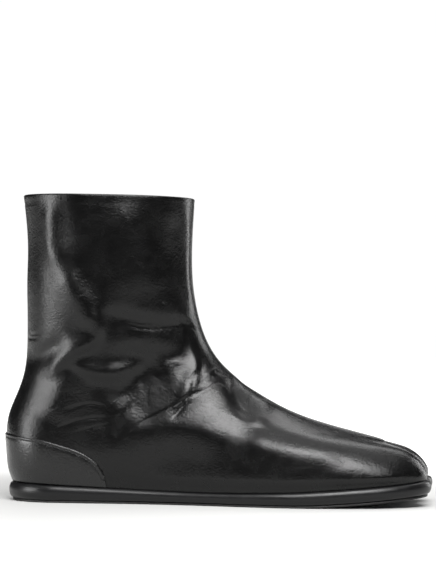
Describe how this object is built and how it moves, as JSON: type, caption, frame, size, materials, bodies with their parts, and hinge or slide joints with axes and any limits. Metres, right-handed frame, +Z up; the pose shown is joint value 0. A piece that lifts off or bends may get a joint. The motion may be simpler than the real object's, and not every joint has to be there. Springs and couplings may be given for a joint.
{
  "type": "split-toe ankle boot",
  "caption": "Plain black leather ankle boot with a split toe, a straight shaft, a stitched heel counter and a flat leather sole; right shoe.",
  "frame": {"origin": "on the floor, on the flat underside of the outsole, below the middle of the sole's length", "axes": "+X to the toes, +Y to the big toe's (medial) side, +Z up"},
  "size_m": [0.2923, 0.0983, 0.2067],
  "materials": {
    "upper_leather": "smooth black calf, soft gloss",
    "sole_leather": "black stained and polished edge",
    "insole_leather": "matt black lining leather",
    "rubber": "thin matt black rubber"
  },
  "bodies": {
    "root": {"outsole": "rubber", "main_sole": "sole_leather", "insole": "insole_leather", "upper": "upper_leather", "heel_counter": "upper_leather"}
  },
  "joints": []
}
